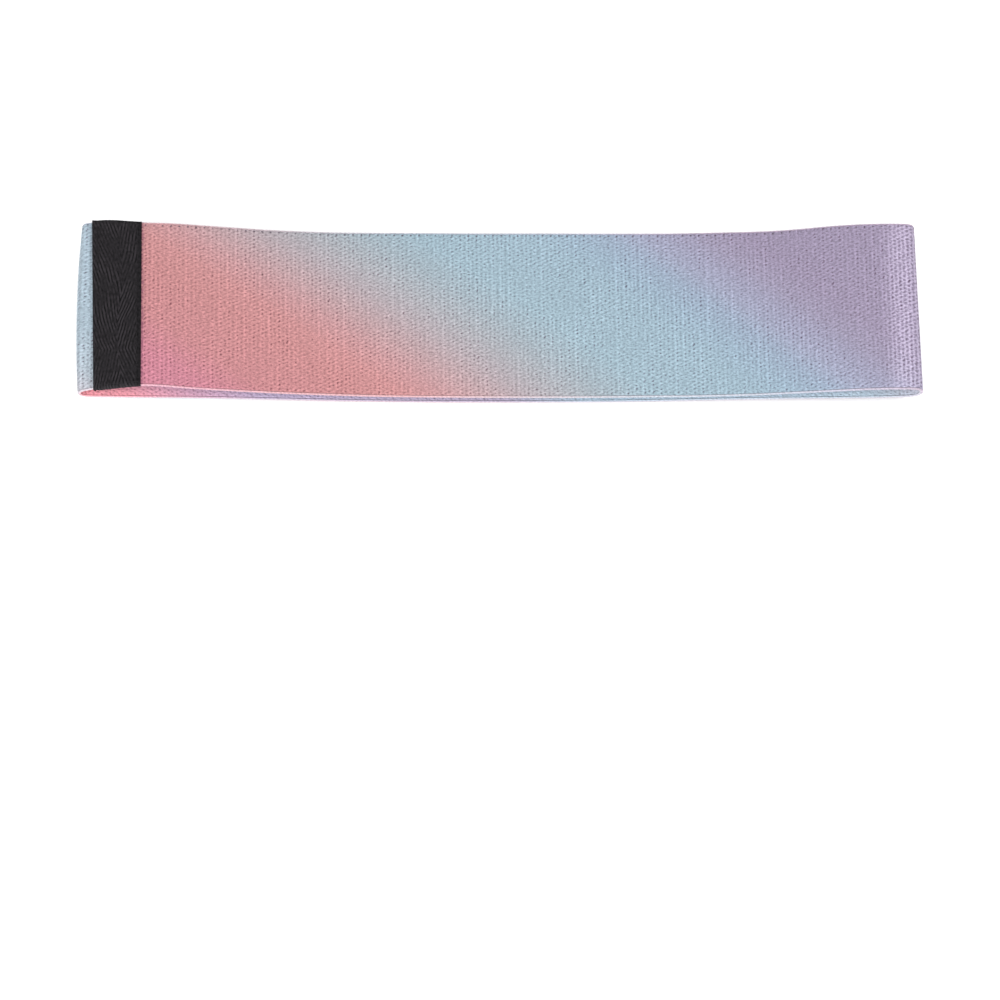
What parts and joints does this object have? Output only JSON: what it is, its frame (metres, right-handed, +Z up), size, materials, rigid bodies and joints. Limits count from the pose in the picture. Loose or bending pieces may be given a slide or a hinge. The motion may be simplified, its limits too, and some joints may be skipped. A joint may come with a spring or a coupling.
{
  "type": "resistance band",
  "caption": "Closed loop of woven elastic webbing with a rubber thread core, latex grip stripes inside, and a taped lap seam with a side label, for leg and hip exercises.",
  "frame": {"origin": "centre of the bounding box's bottom, on the surface that the band lies on", "axes": "+X along the flattened band from the taped lap seam to the plain fold, +Y across the webbing's width and through the loop, +Z up from the surface"},
  "size_m": [0.38, 0.08, 0.0227],
  "materials": {
    "outer_weave": "woven polyester and rubber, soft sheen, pink to blue to lavender",
    "inner_weave": "woven polyester and rubber, soft sheen, lavender to blue",
    "selvage": "smooth woven edge",
    "lock_thread": "fine dark polyester thread",
    "rubber_core": "matte natural rubber",
    "latex_grip": "satin black latex",
    "tie_thread": "fine black polyester",
    "twill_tape": "matte black herringbone cotton tape",
    "sewing_thread": "twisted black polyester thread",
    "label_satin": "plain black satin, blank"
  },
  "bodies": {
    "webbing": {"edge_lock_thread": "lock_thread", "grip_thread_north_1": "latex_grip", "grip_thread_north_2": "latex_grip", "grip_thread_north_3": "latex_grip", "grip_thread_north_4": "latex_grip", "grip_thread_north_5": "latex_grip", "grip_thread_north_6": "latex_grip", "grip_thread_north_7": "latex_grip", "grip_thread_south_1": "latex_grip", "grip_thread_south_2": "latex_grip", "grip_thread_south_3": "latex_grip", "grip_thread_south_4": "latex_grip", "grip_thread_south_5": "latex_grip", "grip_thread_south_6": "latex_grip", "grip_thread_south_7": "latex_grip", "grip_ties_north": "tie_thread", "grip_ties_south": "tie_thread", "inner_fabric": "inner_weave", "outer_fabric": "outer_weave", "rubber_thread_01": "rubber_core", "rubber_thread_02": "rubber_core", "rubber_thread_03": "rubber_core", "rubber_thread_04": "rubber_core", "rubber_thread_05": "rubber_core", "rubber_thread_06": "rubber_core", "rubber_thread_07": "rubber_core", "rubber_thread_08": "rubber_core", "rubber_thread_09": "rubber_core", "rubber_thread_10": "rubber_core", "rubber_thread_11": "rubber_core", "rubber_thread_12": "rubber_core", "rubber_thread_13": "rubber_core", "rubber_thread_14": "rubber_core", "rubber_thread_15": "rubber_core", "rubber_thread_16": "rubber_core", "rubber_thread_17": "rubber_core", "rubber_thread_18": "rubber_core", "rubber_thread_19": "rubber_core", "rubber_thread_20": "rubber_core", "rubber_thread_21": "rubber_core", "rubber_thread_22": "rubber_core", "selvage_north": "selvage", "selvage_south": "selvage"},
    "seam_end": {"inner_hem_stitches_north": "sewing_thread", "inner_hem_stitches_south": "sewing_thread", "inner_seam_tape": "twill_tape", "inner_tape_stitches_left": "sewing_thread", "inner_tape_stitches_right": "sewing_thread", "label_tail": "label_satin", "outer_hem_stitches_north": "sewing_thread", "outer_hem_stitches_south": "sewing_thread", "outer_seam_tape": "twill_tape", "outer_tape_stitches_left": "sewing_thread", "outer_tape_stitches_right": "sewing_thread"},
    "label": {"label_flap": "label_satin"}
  },
  "joints": [
    {"name": "stretch", "type": "slide", "parent": "webbing", "child": "seam_end", "axis": [-1, 0, 0], "range_m": [0, 0.2], "stiffness_N_per_m": 780, "deforming": ["edge_lock_thread", "grip_thread_north_1", "grip_thread_north_2", "grip_thread_north_3", "grip_thread_north_4", "grip_thread_north_5", "grip_thread_north_6", "grip_thread_north_7", "grip_thread_south_1", "grip_thread_south_2", "grip_thread_south_3", "grip_thread_south_4", "grip_thread_south_5", "grip_thread_south_6", "grip_thread_south_7", "grip_ties_north", "grip_ties_south", "inner_fabric", "outer_fabric", "rubber_thread_01", "rubber_thread_02", "rubber_thread_03", "rubber_thread_04", "rubber_thread_05", "rubber_thread_06", "rubber_thread_07", "rubber_thread_08", "rubber_thread_09", "rubber_thread_10", "rubber_thread_11", "rubber_thread_12", "rubber_thread_13", "rubber_thread_14", "rubber_thread_15", "rubber_thread_16", "rubber_thread_17", "rubber_thread_18", "rubber_thread_19", "rubber_thread_20", "rubber_thread_21", "rubber_thread_22", "selvage_north", "selvage_south"]},
    {"name": "label_bend", "type": "hinge", "parent": "seam_end", "child": "label", "pos_m": [-0.16, 0, 0.0193], "axis": [0, 1, 0], "range_deg": [0, 60], "stiffness_Nm_per_rad": 0.0005}
  ]
}
